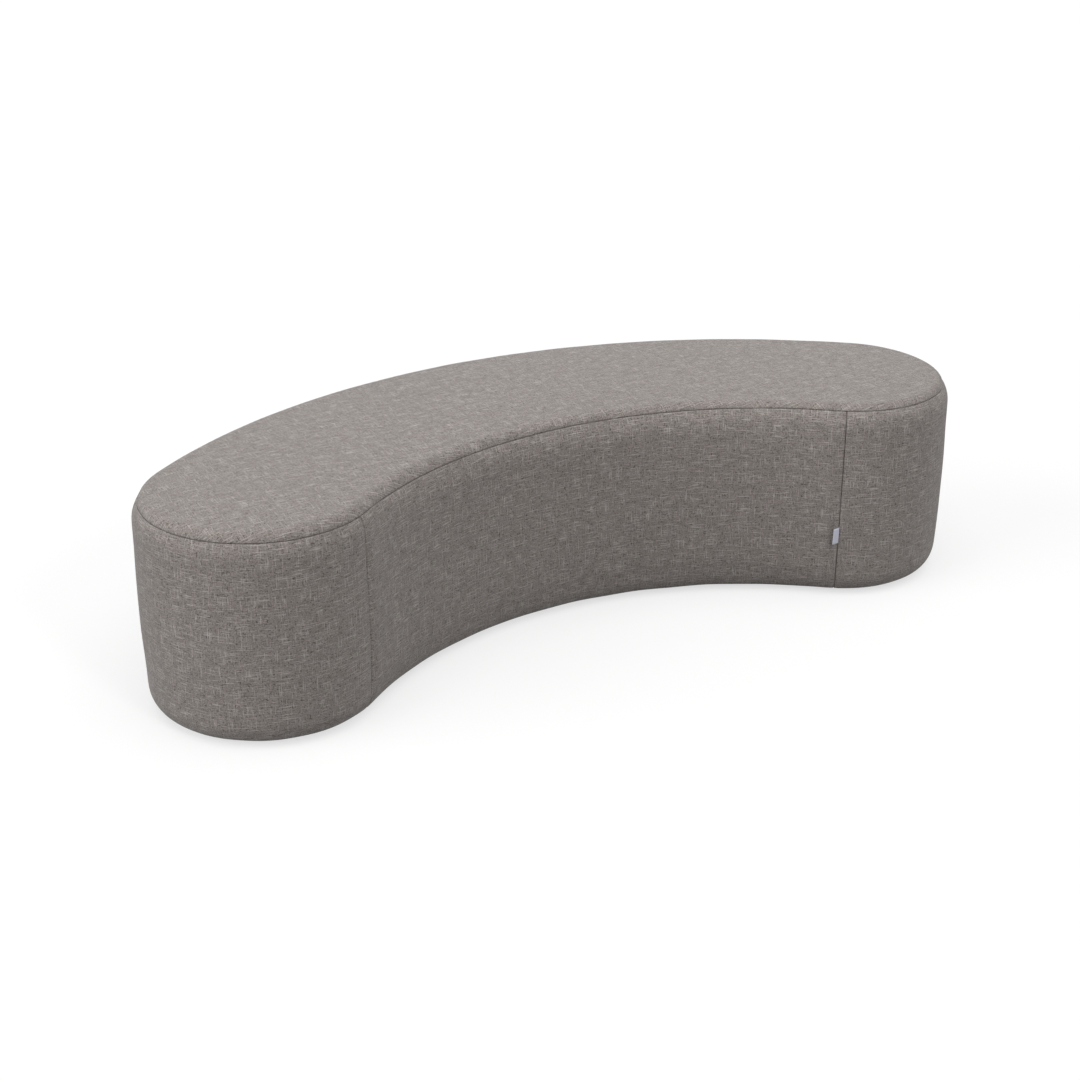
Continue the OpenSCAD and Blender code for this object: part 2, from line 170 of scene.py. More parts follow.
def bench_line(along):
    """The middle line and the way out of it, for distances along the wall's face.
    They start at the middle of the hollow side and run to the right, round the bench."""
    along = np.asarray(along, float)
    s = (along + front_l) % round_l - front_l
    front = s < front_l
    right = ~front & (s < front_l + end_l)
    back = ~front & ~right & (s < front_l + end_l + back_l)
    turn = np.select(
        [front, right, back],
        [s / (arc_r - half_w), half_arc, half_arc - (s - front_l - end_l) / (arc_r + half_w)],
        -half_arc,
    )
    out = np.select(
        [front, right, back],
        [-math.pi / 2 - turn, -math.pi / 2 - half_arc + (s - front_l) / half_w, math.pi / 2 - turn],
        math.pi / 2 + half_arc + (s - front_l - end_l - back_l) / half_w,
    )
    middle = np.stack([arc_r * np.sin(turn), arc_r * np.cos(turn) - plan_mid], -1)
    return middle, np.stack([np.cos(out), np.sin(out)], -1)


# places round the bench at which its front and its back share the points of the middle line
places_round = np.concatenate([
    np.linspace(-front_l, front_l, 240, endpoint=False),
    front_l + np.linspace(0, end_l, 120, endpoint=False),
    front_l + end_l + np.linspace(0, back_l, 240, endpoint=False),
    front_l + end_l + back_l + np.linspace(0, end_l, 120, endpoint=False),
])


def carried(along, line, way, pushed=0.0, slid=0.0):
    """A section line, as (distance from the middle, height), carried along the bench. pushed
    moves each point out of the surface, and slid moves it down along the line."""
    middle, out = bench_line(along)
    r = line[:, 0] + way[:, 0] * pushed + way[:, 1] * slid
    z = line[:, 1] + way[:, 1] * pushed - way[:, 0] * slid + lift
    r, z = (np.broadcast_to(a, (len(middle), len(line))) for a in (r, z))
    return np.concatenate([middle[:, None] + out[:, None] * r[..., None], z[..., None]], -1)


def placed(name, data):
    """A new object in the scene, made of this mesh, lamp or camera."""
    piece = bpy.data.objects.new(name, data)
    bpy.context.scene.collection.objects.link(piece)
    return piece


def surface(name, grid, looped=False, closed=False, capped=False, threads=None):
    """A mesh through a grid of points, whose first side runs along the bench and whose second
    crosses it. threads gives each point its place on the flat cloth, in metres."""
    n, m = grid.shape[:2]
    number = np.arange(n * m).reshape(n, m)
    if looped:
        number = np.concatenate([number, number[:1]])
    if closed:
        number = np.concatenate([number, number[:, :1]], 1)
    corners = [number[:-1, :-1], number[:-1, 1:], number[1:, 1:], number[1:, :-1]]
    faces = np.stack([c.ravel() for c in corners], 1).tolist()
    if capped:
        faces += [list(range(m))[::-1], list(range((n - 1) * m, n * m))]
    mesh = bpy.data.meshes.new(name)
    mesh.from_pydata(grid.reshape(-1, 3).tolist(), [], faces)
    if threads is not None:
        flat = np.concatenate([threads.reshape(-1, 2), np.zeros((n * m, 1))], 1)
        mesh.attributes.new("threads", "FLOAT_VECTOR", "POINT").data.foreach_set("vector", flat.ravel())
    piece = placed(name, mesh)
    shape = bmesh.new()
    shape.from_mesh(mesh)
    bmesh.ops.remove_doubles(shape, verts=shape.verts, dist=1e-6)
    shape.to_mesh(mesh)
    shape.free()
    mesh.shade_smooth()
    return piece


def dress(piece, material, slot, *nodes):
    """Gives a piece its finish, and lets it stand for its CAD nodes."""
    piece.data.materials.append(material)
    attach(piece, "root")
    if nodes:
        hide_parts(*nodes)
    return piece


def foam_finish(name, dark, light):
    material, tree, shader = finish(name, 0.95, Specular_IOR_Level=0.15)
    coords = put(tree, "TexCoord").outputs["Object"]
    cells = put(tree, "TexVoronoi", {"Vector": coords, "Scale": 700.0}).outputs["Distance"]
    cloud = blotches(tree, coords, (14, 14, 14))
    tone = sums(tree, "ADD", sums(tree, "MULTIPLY", cells, 1.2), sums(tree, "MULTIPLY", cloud, 0.15))
    tint(tree, shader, tone, dark, light)
    raise_by(tree, shader, cells, depth=0.0006)
    return material


quarter = math.pi / 2
top_round, foot_round, hem_w = (0.0295, 0.0445), (0.027, 0.0465), 0.034
crown, swell, seam_turn, seam_allowance = 0.004, 0.003, math.radians(43.5), 0.009
left_seam, right_seam = -front_l - 0.017, front_l + 0.0255
cloth_t, wadding_t, foam_t, side_t = 0.0012, 0.006, 0.062, 0.025
skin_out = half_w - cloth_t - side_t
seat_z = body_h - foam_t


def edge(turn, width, height, z, up):
    """A rounded edge of the section, from 0 at the wall to a quarter turn."""
    return np.stack([half_w - width + width * np.cos(turn), z + up * height * np.sin(turn)], -1)


def along_line(line, distances):
    """Points of a section line at these distances along it, and its length."""
    run = np.concatenate([[0], np.cumsum(np.hypot(*np.diff(line, axis=0).T))])
    return np.stack([np.interp(distances, run, line[:, i]) for i in (0, 1)], -1), run[-1]


def eased(line):
    """A section line with its joins softened, as cloth softens them."""
    reach, step, passes = 0.006, 0.0005, 3
    length = along_line(line, [0])[1]
    line = along_line(line, np.linspace(0, length, 1 + int(length / step)))[0]
    width = int(reach / step) // 2
    for _ in range(passes):
        total = np.cumsum(np.pad(line, ((width + 1, width), (0, 0)), "reflect", reflect_type="odd"), 0)
        line = (total[2 * width + 1:] - total[:-2 * width - 1]) / (2 * width + 1)
    return line


top_z, foot_r = body_h - top_round[1], half_w - foot_round[0]
flat_points, top_points, foot_points = 200, 120, 100
over_seat = np.linspace(0, half_w - top_round[0], flat_points, endpoint=False)
down_wall = np.linspace(top_z, foot_round[1], flat_points, endpoint=False)
section = eased(np.concatenate([
    np.stack([over_seat, np.full(flat_points, body_h)], -1),
    edge(np.linspace(quarter, 0, top_points, endpoint=False), *top_round, top_z, 1),
    np.stack([np.full(flat_points, half_w), down_wall], -1),
    edge(np.linspace(0, quarter, foot_points, endpoint=False), *foot_round, foot_round[1], -1),
    [[foot_r, 0], [foot_r - hem_w, 0]],
]))
section_run = along_line(section, [0])[1]
hem_run = section_run - hem_w
seam_point = edge(seam_turn, *top_round, top_z, 1)
seam_run = np.argmin(np.hypot(*(section - seam_point).T)) * section_run / (len(section) - 1)


def section_rows(run):
    """Points of the section at these distances from the middle line, and their ways out."""
    aside = 0.0004
    ends = along_line(section, np.stack([run - aside, run + aside], 1).ravel())[0]
    step = ends[1::2] - ends[::2]
    way = np.stack([-step[:, 1], step[:, 0]], 1) / np.hypot(*step.T)[:, None]
    return along_line(section, run)[0], way


def to_upright(along):
    """Distance to the nearer upright seam."""
    half = round_l / 2
    return np.min([np.abs((along - s + half) % round_l - half) for s in (left_seam, right_seam)], 0)


def seam_wander(along, run):
    """How far down the top seam has wandered, as the tension of the cover leaves it."""
    wander, wander_starts, wander_reach = 0.0045, -0.5, 0.045
    dip = wander * np.cos(4 * math.pi * (np.asarray(along) - wander_starts) / round_l)
    return dip[:, None] * np.exp(-(((run - seam_run) / wander_reach) ** 2))


def drawn_in(distance, nip=0.0018):
    """How far the stitching draws the cloth in at a distance from a seam: a soft hollow,
    and a sharp nip right at the seam."""
    hollow, hollow_reach, nip_reach = 0.0010, 0.008, 0.0009
    soft = hollow * np.exp(-((distance / hollow_reach) ** 2))
    return soft + nip * np.exp(-distance / nip_reach)


def flattened(run):
    """1 on the walls, less round the bottom edge, and little where the cloth lies on the board."""
    round_edge, on_board = 0.045, 0.15
    return np.interp(run, [hem_run - round_edge, hem_run], [1, on_board])


def fullness(run):
    """How far the walls' foam stands out of the section: fullest a little below the middle,
    and pressed in by the taut cover about the top seam."""
    full, wall_h, low_down = 0.0026, 0.36, 1.5
    press, press_below, press_reach = 0.003, 0.008, 0.018
    below = np.asarray(run) - seam_run
    pressed = press * np.exp(-(((below - press_below) / press_reach) ** 2))
    return full * np.sin(math.pi * np.clip(below / wall_h, 0, 1) ** low_down) - pressed


def blown_out(cage, held):
    """A cloth simulation: the cage is held at some points and blown out a little, and settles.
    Returns its points afterwards."""
    frames, stiffness, pressure = 20, 30, 4
    cage.vertex_groups.new(name="held").add(held, 1.0, "REPLACE")
    cloth = cage.modifiers.new("cloth", "CLOTH")
    rules = cloth.settings
    rules.vertex_group_mass, rules.quality, rules.mass = "held", 6, 0.3
    rules.tension_stiffness = rules.compression_stiffness = stiffness
    rules.use_pressure, rules.uniform_pressure_force = True, pressure
    rules.effector_weights.gravity = 0
    cloth.point_cache.frame_start, cloth.point_cache.frame_end = 1, frames
    for moment in range(1, frames + 1):
        bpy.context.scene.frame_set(moment)
    settled = cage.evaluated_get(bpy.context.evaluated_depsgraph_get()).data
    points = np.array([v.co for v in settled.vertices])
    bpy.context.scene.frame_set(1)
    return points


def levelled(along, moved):
    """The swelling evened out along the bench, as foam evens it, but not beside the seams."""
    reach, seam_side, blend = 0.12, 0.04, 0.2
    apart = np.abs(along[:, None] - along[None, :])
    share = np.exp(-((np.minimum(apart, round_l - apart) / reach) ** 2))
    share = share * np.abs(np.gradient(along))[None, :]
    even = share @ moved / share.sum(1)[:, None]
    away = np.clip((to_upright(along) - seam_side) / blend, 0, 1)[:, None]
    return moved + (even - moved) * away


def swollen():
    """How far the padding swells the cover, at places along and across it. A coarse copy of the
    cover, held at its seams and its hem, is blown out, and its swelling is scaled to the
    crown of the seat and the swell of the walls."""
    wall_h, mid_wall, bottom_edge, seat_rows, wall_rows = 0.33, 0.19, 0.05, 12, 27
    most_moved, most_seat, most_wall = 0.02, 1.6 * crown, 1.25 * swell
    along = places_round[::3]
    below = np.linspace(seam_run, section_run, wall_rows)
    run = np.concatenate([np.linspace(0, seam_run, seat_rows, endpoint=False), below])
    seat = run < seam_run
    belly = np.argmin(np.abs(run - seam_run - mid_wall))
    line, way = section_rows(run)
    grid = carried(along, line, way)
    cage = surface("cover_cage", grid, looped=True)
    tree = kdtree.KDTree(len(cage.data.vertices))
    for corner in cage.data.vertices:
        tree.insert(corner.co, corner.index)
    tree.balance()
    number = np.array([tree.find(p)[1] for p in grid.reshape(-1, 3)]).reshape(grid.shape[:2])
    held = (np.abs(run - seam_run) < 1e-6) | (run > section_run - bottom_edge)
    held = held | (~seat & (to_upright(along) < seam_allowance)[:, None])
    now = blown_out(cage, np.unique(number[held]).tolist())[number]
    moved = ((now - grid) * (carried(along, line, way, 1.0) - grid)).sum(-1)
    moved = np.clip(moved, 0, most_moved)
    bpy.data.objects.remove(cage)
    high = np.where(seat, crown / np.median(moved[:, 0]), swell / np.median(moved[:, belly]))
    moved = np.clip(moved * high, 0, np.where(seat, most_seat, most_wall))
    return along, run, np.where(seat, moved, levelled(along, moved))


swollen_along, swollen_run, swollen_by = swollen()


def swelling(along, run):
    """How far the padding stands out of the section at places along and across it."""
    row = np.interp(run, swollen_run, np.arange(len(swollen_run)))
    low = np.minimum(row.astype(int), len(swollen_run) - 2)
    columns = swollen_by[:, low] + (swollen_by[:, low + 1] - swollen_by[:, low]) * (row - low)
    swelled = np.stack([np.interp(along, swollen_along, c, period=round_l) for c in columns.T], -1)
    return swelled + fullness(run)


foam_gap, wadding_edge, wadding_feather = 0.0003, 0.04, 0.045


def wadding_at(run):
    """How thick the wadding is at a distance from the middle line. Its edge is torn thin."""
    return wadding_t * np.clip((seam_run - wadding_edge - run) / wadding_feather, 0, 1)


def padding_out(along, run, depth):
    """How far foam lies out of the section: swollen, under the cloth, and slit on the walls
    where the upright seams' turned-in edges lie."""
    slit_in, slit_half = 0.010, 0.007
    slit = slit_in * np.exp(-((to_upright(along) / slit_half) ** 2))[:, None]
    slit = slit * (run > seam_run) * flattened(run)
    return swelling(along, run) - depth - np.hypot(drawn_in(np.abs(run - seam_run)), slit)


def seat_foam_section():
    """The slab's section: over the top, round the slit for the top seam, down the wall to the
    joint, and back along the board. Its points, their ways out and their distances."""
    lip, slit_starts, slit_ends, slit_half, board_points = 0.002, 0.006, 0.013, 0.0016, 12
    evenly_to, closely_from, board_inset = 0.03, 0.024, 0.03
    rounded = seam_run - np.linspace(closely_from, lip, 8)
    upper = np.concatenate([np.linspace(0, seam_run - evenly_to, 30), rounded])
    lower = np.linspace(seam_run + lip, joint_run, 12)
    (at_seam,), (out,) = section_rows(np.array([seam_run]))
    down = np.array([out[1], -out[0]])
    slit_corners = np.array([[slit_starts, -1], [slit_ends, -1], [slit_ends, 1], [slit_starts, 1]])
    slit = at_seam - out * slit_corners[:, :1] + down * slit_half * slit_corners[:, 1:]
    over_board = np.linspace(half_w - board_inset, 0, board_points)
    board = np.stack([over_board, np.full(board_points, seat_z)], -1)
    (upper_line, upper_way), (lower_line, lower_way) = section_rows(upper), section_rows(lower)
    line = np.concatenate([upper_line, slit, lower_line, board])
    way = np.concatenate([upper_way, [out] * 4, lower_way, np.zeros((board_points, 2))])
    at = np.concatenate([upper, np.full(4, seam_run), lower, np.full(board_points, section_run)])
    return line, way, at


seat_foam_finish = foam_finish("seat_foam_cells", shade(206, 188, 128), shade(243, 230, 180))
wall_foam_finish = foam_finish("wall_foam_cells", shade(212, 200, 160), shade(244, 236, 206))
below = np.linspace(seam_run, section_run, 500)
joint_run = np.interp(-seat_z, -section_rows(below)[0][:, 1], below)
line, way, run = seat_foam_section()
pushed = padding_out(places_round, run, cloth_t + foam_gap + wadding_at(run))
pushed[:, run == seam_run] = fullness(seam_run)
grid = carried(places_round, line, way, pushed, seam_wander(places_round, run))
seat_foam = surface("seat_foam_slab", grid, looped=True)
dress(seat_foam, seat_foam_finish, "foam", "seat_foam")

joint_gap, seam_gap, foam_step, face_points, back_points = 0.0005, 0.0035, 0.008, 30, 12
above_hem, above_base = 0.003, 0.004
run = np.linspace(joint_run + joint_gap, hem_run - above_hem, face_points)
outer_line, outer_way = section_rows(run)
back_heights = np.linspace(above_base, seat_z - joint_gap, back_points)
inner_line = np.stack([np.full(back_points, skin_out), back_heights], -1)
line = np.concatenate([outer_line, inner_line])
way = np.concatenate([outer_way, np.zeros((back_points, 2))])
for name, start, stop in (
    ("front_foam", left_seam + seam_gap, right_seam - seam_gap),
    ("right_end_foam", right_seam + seam_gap, front_l + end_l),
    ("back_foam", front_l + end_l, front_l + end_l + back_l),
    ("left_end_foam", front_l + end_l + back_l, round_l + left_seam - seam_gap),
):
    along = np.linspace(start, stop, 2 + int((stop - start) / foam_step))
    pushed = np.pad(padding_out(along, run, cloth_t + foam_gap), ((0, 0), (0, back_points)))
    slab = surface(name + "_piece", carried(along, line, way, pushed), closed=True, capped=True)
    dress(slab, wall_foam_finish, "foam", name)


# The wadding: a sheet of white polyester fibre under the seat cover, its edge torn thin so
# that it leaves no step. It is laid on the foam, and the cover holds it.
def fibre_finish():
    material, tree, shader = finish("polyester_fibre", 0.9, Specular_IOR_Level=0.2)
    coords = put(tree, "TexCoord").outputs["Object"]
    across, along = blotches(tree, coords, (60, 900, 60)), blotches(tree, coords, (900, 60, 60))
    fibres = sums(tree, "ADD", across, along)
    share = sums(tree, "MULTIPLY_ADD", fibres, 0.2, 0.6)
    tint(tree, shader, share, shade(214, 214, 210), shade(248, 248, 245))
    raise_by(tree, shader, fibres, depth=0.0008)
    return material


face_inset, under_cloth = 0.03, 0.0001
upper_face = np.linspace(0, seam_run - face_inset, 30)
lower_face = np.linspace(seam_run - wadding_edge, 0, 24)
run = np.concatenate([upper_face, lower_face])
depth = cloth_t + under_cloth + np.concatenate([np.zeros(len(upper_face)), wadding_at(lower_face)])
line, way = section_rows(run)
pushed = padding_out(places_round, run, depth)
grid = carried(places_round, line, way, pushed, seam_wander(places_round, run))
wadding = surface("wadding_sheet", grid, looped=True)
dress(wadding, fibre_finish(), "wadding", "seat_wadding")


# The cover: one grey-taupe cloth with a linen look, cut in three and sewn with plain seams.
# The seat piece lies flat, the front and outer pieces are strips with their threads upright
# and level. Each edge is turned in at its seam, and the stitching draws the cloth in.
def marks(tree, place, scale, rare):
    """Thin streaks, 0 to 1, drawn out as scale says. They are the fewer, the higher rare is."""
    softness = 0.45
    cloud = blotches(tree, place, scale, 1)
    return put(tree, "MapRange", {0: cloud, 1: rare, 2: rare + softness}).outputs[0]


def cover_finish():
    """Slubby threads of a darker and a lighter grey-brown, crossing in a plain weave."""
    material, tree, shader = finish(
        "linen_look_cloth", 0.92, Specular_IOR_Level=0.2, Sheen_Weight=0.25, Sheen_Roughness=0.45
    )
    place = put(tree, "Attribute", attribute_name="threads").outputs["Vector"]
    level_slubs = marks(tree, place, (30, 540, 1), 0.44)
    upright_slubs = marks(tree, place, (530, 28, 1), 0.52)
    dark_level = marks(tree, place, (130, 400, 2), 0.5)
    dark_upright = marks(tree, place, (390, 140, 2), 0.55)
    grain = blotches(tree, place, (380, 430, 3), 1)
    mottle = blotches(tree, place, (45, 75, 4), 3)
    tone = sums(tree, "MULTIPLY_ADD", mottle, 0.06, 0.445)
    for part, share in (
        (level_slubs, 0.44), (upright_slubs, 0.36), (grain, 0.17),
        (dark_level, -0.30), (dark_upright, -0.30),
    ):
        tone = sums(tree, "MULTIPLY_ADD", part, share, tone)
    tint(tree, shader, tone, shade(78, 71, 67), shade(188, 180, 175))
    axes = put(tree, "SeparateXYZ", {0: place}).outputs
    thread_pair = 0.0017
    warp = sums(tree, "SINE", sums(tree, "MULTIPLY_ADD", axes[0], 2 * math.pi / thread_pair, grain))
    weft = sums(tree, "SINE", sums(tree, "MULTIPLY_ADD", axes[1], 2 * math.pi / thread_pair, grain))
    height = sums(tree, "MULTIPLY", warp, weft)
    for part in (level_slubs, upright_slubs):
        height = sums(tree, "MULTIPLY_ADD", part, 1.2, height)
    raise_by(tree, shader, height, depth=0.0002)
    return material


def spaced(length, step, start=True, stop=True):
    """Distances from 0 to a length, close together near a seam and a step apart elsewhere."""
    close = np.array([0.55, 0.8, 1.2, 1.9, 2.8, 4, 5.5, 7.5, 10, 14]) / 1000
    low = close if start else np.array([0.0])
    high = length - (close[::-1] if stop else np.array([0.0]))
    inner = np.linspace(low[-1], high[0], max(2, 1 + int(round((high[0] - low[-1]) / step))))
    return np.concatenate([low, inner[1:-1], high])


chance = np.random.default_rng(11)


def ripple(along, low, high, count):
    """An uneven wave along the bench that closes on itself, about 1 high."""
    turns = chance.integers(int(round_l / high), int(round_l / low), count)
    shift = chance.uniform(0, 2 * math.pi, count)
    angle = 2 * math.pi * np.asarray(along)[:, None] / round_l * turns + shift
    return np.sin(angle).sum(1) / math.sqrt(count / 2)


def slack(along, across, size):
    """The faint unevenness of a cloth pulled over foam, at places along and across it."""
    total, waves = 0, 14
    fewest, most, shortest, longest = 8, 40, 0.09, 0.4
    for _ in range(waves):
        turns, wave = chance.integers(fewest, most), chance.uniform(shortest, longest)
        angle = np.asarray(along)[:, None] / round_l * turns + np.asarray(across)[None] / wave
        total = total + np.sin(2 * math.pi * angle + chance.uniform(0, 2 * math.pi))
    return total * size / math.sqrt(waves / 2)


cloth = cover_finish()
row_step, panel_step, upright_nip = 0.006, 0.0056, 0.0048
seat_slack, wall_slack, slack_starts, still_middle = 0.00025, 0.0003, 0.03, 0.03
turned, turned_beside = np.array([0.0055, 0.002]), np.array([0.0001, 0.0005])


def cover_rows(distances, side):
    """A piece's rows at these distances from the top seam, on the seat's side of it, -1, or
    the wall's, 1, after two rows turned in there: their distances from the middle line,
    their distances to the seam and their depths."""
    across = np.concatenate([turned_beside, distances])
    return seam_run + side * across, across, np.concatenate([turned, np.zeros(len(distances))])


def seam_ripple(along, across):
    """Small puckers that the stitching leaves beside a seam."""
    shortest, longest, waves, height, reach = 0.014, 0.05, 24, 0.00022, 0.010
    return ripple(along, shortest, longest, waves)[:, None] * height * np.exp(-across / reach)[None]


def hem_pleats(along, run):
    """Small pleats under the round ends, where the hem is longer than the board's edge."""
    shortest, longest, waves, height, from_hem_edge, width = 0.018, 0.034, 9, 0.0008, 0.026, 0.006
    half = round_l / 2
    to_nose = np.abs(np.abs((along + half) % round_l - half) - front_l - end_l / 2) / end_l
    pleats = np.cos(math.pi * np.minimum(to_nose, 0.5)) * ripple(along, shortest, longest, waves)
    return height * pleats[:, None] * np.exp(-(((run - section_run + from_hem_edge) / width) ** 2))


def crescent_size(reach):
    """The flat size of a crescent that reaches this far from the middle line, and its area."""
    depth = arc_r * (1 - math.cos(half_arc)) + 2 * reach
    length = 2 * (arc_r * math.sin(half_arc) + reach)
    return (depth, length), 4 * arc_r * half_arc * reach + math.pi * reach ** 2


# seat piece, from the middle line out to the top seam and in under it
run, across, depth = cover_rows(spaced(seam_run, row_step, stop=False), -1)
line, way = section_rows(run)
pushed = seam_ripple(places_round, across)
pushed += slack(places_round, run, seat_slack) * (1 - np.exp(-across / slack_starts))
pushed = pushed * (run > still_middle) + swelling(places_round, run) - drawn_in(across) - depth
grid = carried(places_round, line, way, pushed, seam_wander(places_round, run))[:, ::-1]
middle, out = bench_line(places_round)
threads = middle[:, None] + out[:, None] * run[::-1, None]
seat_cover = surface("seat_cover", grid, looped=True, threads=threads)
dress(seat_cover, cloth, "cover_cloth", "top_panel")
flat, area = crescent_size(seam_run + seam_allowance)

# wall panels, each from one upright seam to the other and from the top seam down to the hem
for name, node, foam, start, stop in (
    ("front_cover", "front_panel", "front_foam_piece", left_seam, right_seam),
    ("outer_cover", "outer_panel", "back_foam_piece", right_seam, round_l + left_seam),
):
    panel_w, panel_l = section_run - seam_run, stop - start
    run, across, depth = cover_rows(spaced(panel_w, row_step, stop=False), 1)
    line, way = section_rows(run)
    at = np.concatenate([turned_beside, spaced(panel_l, panel_step), panel_l - turned_beside[::-1]])
    aside = np.pad(turned, (0, len(at) - 2)) + np.pad(turned[::-1], (len(at) - 2, 0))
    along = start + at
    beside = np.minimum(at, panel_l - at)
    pushed = swelling(along, run) + seam_ripple(along, across) + seam_ripple(run, beside).T
    pushed += slack(along, run, wall_slack) * (1 - np.exp(-across / slack_starts))
    pushed += hem_pleats(along, run)
    pushed -= np.hypot(drawn_in(across), drawn_in(beside, upright_nip)[:, None] * flattened(run))
    on_board, freed, above_board = -0.0009, 0.1, np.clip(hem_run - run, 0, 1)
    pushed = np.maximum(pushed, on_board - freed * above_board)
    pushed -= depth + aside[:, None] * flattened(run)
    grid = carried(along, line, way, pushed, seam_wander(along, run))
    threads = np.stack(np.broadcast_arrays(along[:, None], run[None]), -1)
    panel = surface(name, grid, threads=threads)
    dress(panel, cloth, "cover_cloth", node)
    flat = (panel_w + seam_allowance, panel_l + 2 * seam_allowance)


# The seam thread: bonded polyester, a lockstitch every 3.2 mm. A plain seam hides it, and
# only short rungs show deep in the groove where the cloth pulls at them. Their dark brown,
# darker than the cloth, is partly painted shade: it stands for the shadow deep in the groove.
def thread_and_groove_shade_finish():
    material, tree, shader = finish("seam_thread_polyester_groove_shade", 0.6, Sheen_Weight=0.2)
    coords = put(tree, "TexCoord").outputs["Object"]
    twist = blotches(tree, coords, (2500, 2500, 2500), 1)
    share = sums(tree, "MULTIPLY_ADD", twist, 0.3, 0.5)
    # the dark brown range is partly painted shade of the seam groove, not only the thread's own colour
    tint(tree, shader, share, shade(70, 62, 58), shade(104, 96, 90))
    return material


def rungs(name, centres, ways):
    """Short bars of thread, each from centre - way to centre + way, thinner at their ends."""
    thread_r, thinner, sides, shares = 0.0002, 0.5, 6, (-1, -0.5, 0, 0.5, 1)
    side = np.cross(ways, [0.3, 0.2, 1.0])
    side /= np.linalg.norm(side, axis=1)[:, None]
    rise = np.cross(ways, side)
    rise /= np.linalg.norm(rise, axis=1)[:, None]
    turn = np.linspace(0, 2 * math.pi, sides, endpoint=False)[:, None]
    ring = np.cos(turn) * side[:, None] + np.sin(turn) * rise[:, None]
    rings = [
        (centres + ways * share)[:, None] + ring * thread_r * (1 - thinner * abs(share))
        for share in shares
    ]
    points = np.stack(rings, 1).reshape(-1, 3)
    faces = []
    for bar in range(len(centres)):
        first = bar * sides * len(shares)
        last = first + sides * (len(shares) - 1)
        for low in range(first, last, sides):
            for j in range(sides):
                a, b = low + j, low + (j + 1) % sides
                faces.append((a, b, b + sides, a + sides))
        faces.append(tuple(range(first, first + sides))[::-1])
        faces.append(tuple(range(last, last + sides)))
    mesh = bpy.data.meshes.new(name)
    mesh.from_pydata(points.tolist(), [], faces)
    mesh.shade_smooth()
    return placed(name, mesh)


stitch, rung_half, rung_depth = 0.0032, 0.0010, 0.0034
thread = thread_and_groove_shade_finish()
seam_line, seam_way = section_rows(np.array([seam_run]))
along = np.arange(0, round_l, stitch)
pushed = fullness(seam_run) - rung_depth
centres = carried(along, seam_line, seam_way, pushed, seam_wander(along, seam_run))[:, 0]
out = bench_line(along)[1]
down_slope = np.concatenate([out * seam_way[0, 1], np.full((len(along), 1), -seam_way[0, 0])], 1)
dress(rungs("top_seam_thread", centres, down_slope * rung_half), thread, "cover_cloth")
first_rung, last_rung = 0.004, 0.012
drop = np.arange(seam_run + first_rung, section_run - last_rung, stitch)
line, way = section_rows(drop)
for name, place in (("left_seam_thread", left_seam), ("right_seam_thread", right_seam)):
    centres = carried([place], line, way, fullness(drop) - rung_depth)[0]
    out = bench_line([place])[1][0]
    level = np.tile([-out[1], out[0], 0], (len(drop), 1))
    dress(rungs(name, centres, level * rung_half), thread, "cover_cloth")


# The side label: a loop of woven satin ribbon, folded once and caught in the right upright
# seam. Pale lavender grey, blank, and bent over towards the hollow side.
def ribbon_finish():
    material, tree, shader = finish("satin_ribbon", 0.42, Specular_IOR_Level=0.45, Sheen_Weight=0.2)
    place = put(tree, "Attribute", attribute_name="threads").outputs["Vector"]
    axes = put(tree, "SeparateXYZ", {0: place}).outputs
    rib_pitch, selvedge = 0.0007, 0.0016
    ribs = sums(tree, "SINE", sums(tree, "MULTIPLY", axes[0], 2 * math.pi / rib_pitch))
    floats = blotches(tree, place, (1800, 220, 1), 1)
    edge = sums(tree, "GREATER_THAN", sums(tree, "ABSOLUTE", axes[1]), label_w / 2 - selvedge)
    tone = sums(tree, "MULTIPLY_ADD", ribs, 0.10, sums(tree, "MULTIPLY_ADD", floats, 0.12, 0.5))
    tone = sums(tree, "MULTIPLY_ADD", edge, 0.25, tone)
    tint(tree, shader, tone, shade(186, 187, 203), shade(226, 227, 241))
    raise_by(tree, shader, sums(tree, "MULTIPLY_ADD", edge, 1.5, ribs), depth=0.00006)
    return material


label_w, label_out, label_z, ribbon_t, caught = 0.034, 0.017, 0.136, 0.0005, 0.006
bent, curled, bend_length, lean_share = np.radians(44), np.radians(5), 0.0035, 0.08
bend_power, curl_turn, tip_room, gap_share, opening, opens_over = 0.8, 2.4, 0.0008, 0.55, 0.35, 0.008
height = np.linspace(-label_w / 2, label_w / 2, 19)
length = np.linspace(0, label_out - tip_room, 22)
length = np.concatenate([np.linspace(-caught, 0, 4, endpoint=False), length])
bend = bent * np.clip(length / bend_length, 0, 1) ** bend_power
bend = bend + curled * np.sin(np.clip(length / label_out, 0, 1) * curl_turn)
steps = np.stack([np.cos(bend), -np.sin(bend)], 1)[1:] * np.diff(length)[:, None]
path = np.concatenate([[[0.0, 0.0]], np.cumsum(steps, 0)])
path -= [np.interp(0, length, path[:, i]) for i in (0, 1)]
side = np.stack([np.sin(bend), np.cos(bend)], 1)
gap = ribbon_t * (gap_share + opening * np.clip(length / opens_over, 0, 1))
round_over = np.linspace(quarter, -quarter, 7)[1:-1]
tip, tip_side = path[-1], side[-1]
tip_way = np.array([math.cos(bend[-1]), -math.sin(bend[-1])])
loop = np.concatenate([
    path + side * gap[:, None],
    tip + gap[-1] * (np.sin(round_over)[:, None] * tip_side + np.cos(round_over)[:, None] * tip_way),
    (path - side * gap[:, None])[::-1],
])
loop_run = np.concatenate([[0], np.cumsum(np.hypot(*np.diff(loop, axis=0).T))])
(middle,), (out,) = bench_line([right_seam])
foot = middle + out * (half_w + fullness(seam_run + seam_point[1] - label_z))
forward = np.array([-out[1], out[0]])
lean = 1 - lean_share * (height / label_w)[:, None, None]
flat = foot + loop[None, :, :1] * out + loop[None, :, 1:] * lean * forward
